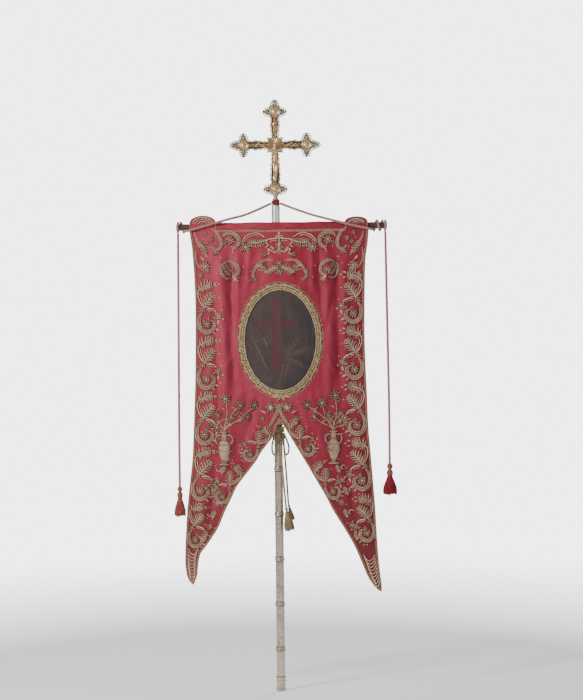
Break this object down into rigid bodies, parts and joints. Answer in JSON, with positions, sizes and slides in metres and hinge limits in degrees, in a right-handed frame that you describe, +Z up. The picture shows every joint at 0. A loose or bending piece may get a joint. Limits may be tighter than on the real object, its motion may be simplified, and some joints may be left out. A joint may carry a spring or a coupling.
{
  "type": "processional church banner",
  "caption": "Swallow-tailed crimson silk banner with raised gold embroidery, hung by a cord from a silver-sheathed staff with an altar cross on top.",
  "frame": {"origin": "centre of the flat foot of the staff", "axes": "+Z up along the staff, the banner faces -Y, +X to the viewer's right"},
  "size_m": [0.9355, 0.0937, 2.4941],
  "materials": {
    "silver": "chased silver sheet, worn and slightly tarnished",
    "gilt": "worn gilding over silver",
    "dark_wood": "dark reddish-brown stained wood, satin",
    "core_wood": "plain wood core, unfinished",
    "crimson_silk": "crimson silk satin, faded, with soft sheen",
    "lining_cloth": "plain dark red cotton lining",
    "gold_thread": "tarnished gold thread, padded and couched",
    "painted_panel": "dark oil painting on cloth",
    "rose_cord": "faded rose silk cord, twisted",
    "crimson_tassel": "deep crimson silk fringe",
    "ochre_cord": "old gold silk cord and fringe"
  },
  "bodies": {
    "staff": {"foot_ferrule": "silver", "lower_core": "core_wood", "staff_sleeve_01": "silver", "staff_sleeve_02": "silver", "staff_sleeve_03": "silver", "staff_sleeve_04": "silver", "staff_sleeve_05": "silver", "staff_sleeve_06": "silver", "staff_sleeve_07": "silver", "bow_wrap": "ochre_cord", "bow_loop_left": "ochre_cord", "bow_loop_right": "ochre_cord"},
    "upper_staff": {"upper_core": "core_wood", "staff_sleeve_08": "silver", "staff_sleeve_09": "silver", "staff_sleeve_10": "silver", "staff_sleeve_11": "silver", "staff_neck": "silver", "neck_cord_wrap": "rose_cord"},
    "cross": {"cross_base": "gilt", "cross_body": "silver", "cross_boss_top": "gilt", "cross_boss_left": "gilt", "cross_boss_right": "gilt", "cross_boss_lower": "gilt", "glory_plate": "gilt", "corpus": "gilt"},
    "hanger": {"crossbar": "dark_wood", "rod_sleeve": "crimson_silk", "banner_header": "crimson_silk", "top_galloon": "gold_thread", "left_slant_cord": "rose_cord", "right_slant_cord": "rose_cord", "left_bar_turn": "rose_cord", "right_bar_turn": "rose_cord"},
    "cloth": {"banner_front": "crimson_silk", "banner_lining": "lining_cloth", "oval_painting": "painted_panel", "oval_lace": "gold_thread", "edge_braid_left": "gold_thread", "edge_braid_right": "gold_thread", "edge_braid_fork": "gold_thread", "vase_left": "gold_thread", "vase_right": "gold_thread", "border_embroidery_left": "gold_thread", "border_embroidery_right": "gold_thread", "border_embroidery_top": "gold_thread", "fork_embroidery_left": "gold_thread", "fork_embroidery_right": "gold_thread"},
    "left_drop": {"left_drop_cord": "rose_cord", "left_tassel_head": "rose_cord", "left_tassel_skirt": "rose_cord"},
    "right_drop": {"right_drop_cord": "rose_cord", "right_tassel_head": "crimson_tassel", "right_tassel_skirt": "crimson_tassel"},
    "bow_ends": {"bow_strand_a": "ochre_cord", "bow_strand_b": "ochre_cord", "bow_tassel_a": "ochre_cord", "bow_tassel_b": "ochre_cord"}
  },
  "joints": [
    {"name": "staff_lift", "type": "slide", "parent": "staff", "child": "upper_staff", "axis": [0, 0, 1], "range_m": [0, 0.075]},
    {"name": "cross_lift", "type": "slide", "parent": "upper_staff", "child": "cross", "axis": [0, 0, 1], "range_m": [0, 0.055]},
    {"name": "banner_sway", "type": "hinge", "parent": "upper_staff", "child": "hanger", "pos_m": [0, -0.0346, 2.059], "axis": [0, 1, 0], "range_deg": [-5, 5]},
    {"name": "cloth_swing", "type": "hinge", "parent": "hanger", "child": "cloth", "pos_m": [0.0135, -0.0548, 1.9243], "axis": [-1, 0, 0], "range_deg": [0, 35]},
    {"name": "left_drop_swing", "type": "hinge", "parent": "hanger", "child": "left_drop", "pos_m": [-0.411, -0.0346, 1.955], "axis": [-1, 0, 0], "range_deg": [-35, 35]},
    {"name": "right_drop_swing", "type": "hinge", "parent": "hanger", "child": "right_drop", "pos_m": [0.459, -0.0346, 1.955], "axis": [-1, 0, 0], "range_deg": [-35, 35]},
    {"name": "bow_swing", "type": "hinge", "parent": "staff", "child": "bow_ends", "pos_m": [0.013, -0.027, 1.0881], "axis": [-1, 0, 0], "range_deg": [0, 35]}
  ]
}
